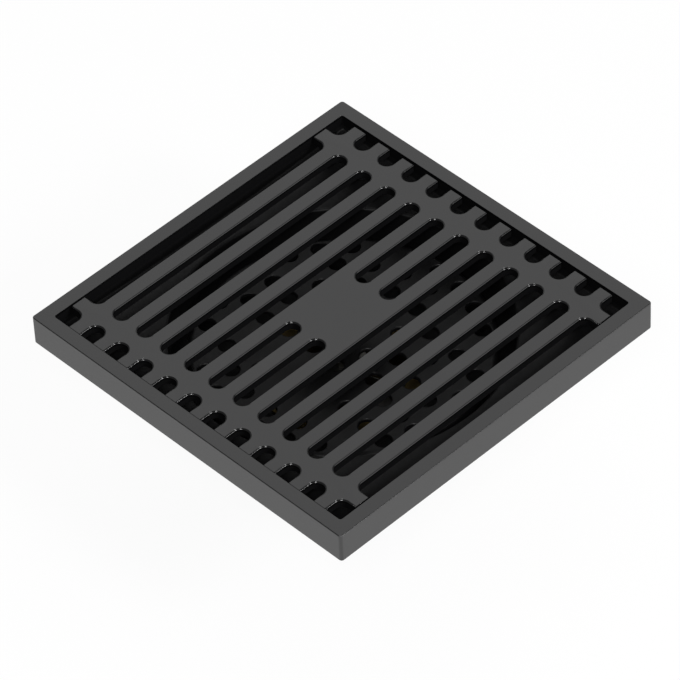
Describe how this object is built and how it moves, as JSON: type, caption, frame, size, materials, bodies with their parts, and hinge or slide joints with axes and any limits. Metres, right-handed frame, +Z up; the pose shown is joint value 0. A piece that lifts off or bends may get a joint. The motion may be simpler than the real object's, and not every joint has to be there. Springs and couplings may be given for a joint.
{
  "type": "shower gully trap",
  "caption": "Square shower gully trap with a loose slotted grate, dished tray, round perforated strainer and a lift-out sprung odour-stop core in its outlet spigot.",
  "frame": {"origin": "on the outlet's axis at the lower end of the outlet spigot", "axes": "+Z up along the outlet's axis towards the grate, +Y along the grate's slots, +X across the slots"},
  "size_m": [0.1, 0.1, 0.045],
  "materials": {
    "black_plated_brass": "cast brass with a satin black plating",
    "black_plated_sheet": "pressed brass sheet with a satin black plating",
    "bare_brass": "turned, unplated",
    "stainless_steel": "plain stainless steel",
    "white_plastic": "plain white acetal",
    "grey_silicone": "soft, matt",
    "black_rubber": "soft, matt"
  },
  "bodies": {
    "drain": {"drain_body": "black_plated_brass", "grate": "black_plated_brass", "grate_foot_cap_1": "black_rubber", "grate_foot_cap_2": "black_rubber", "grate_foot_cap_3": "black_rubber", "grate_foot_cap_4": "black_rubber", "strainer": "black_plated_sheet", "core_sleeve": "bare_brass", "core_ring_upper": "black_rubber", "core_ring_lower": "black_rubber", "stem_guide": "bare_brass", "guide_clip": "stainless_steel", "guide_bush": "white_plastic", "return_spring": "stainless_steel"},
    "valve": {"valve_stem": "stainless_steel", "valve_plate": "stainless_steel", "valve_seal": "grey_silicone", "seal_washer": "stainless_steel", "plate_nut": "stainless_steel", "spring_seat": "stainless_steel", "stem_nut": "stainless_steel"}
  },
  "joints": [
    {"name": "valve_travel", "type": "slide", "parent": "drain", "child": "valve", "axis": [0, 0, -1], "range_m": [0, 0.0045], "stiffness_N_per_m": 60, "springref_m": -0.004, "deforming": ["return_spring"]}
  ]
}
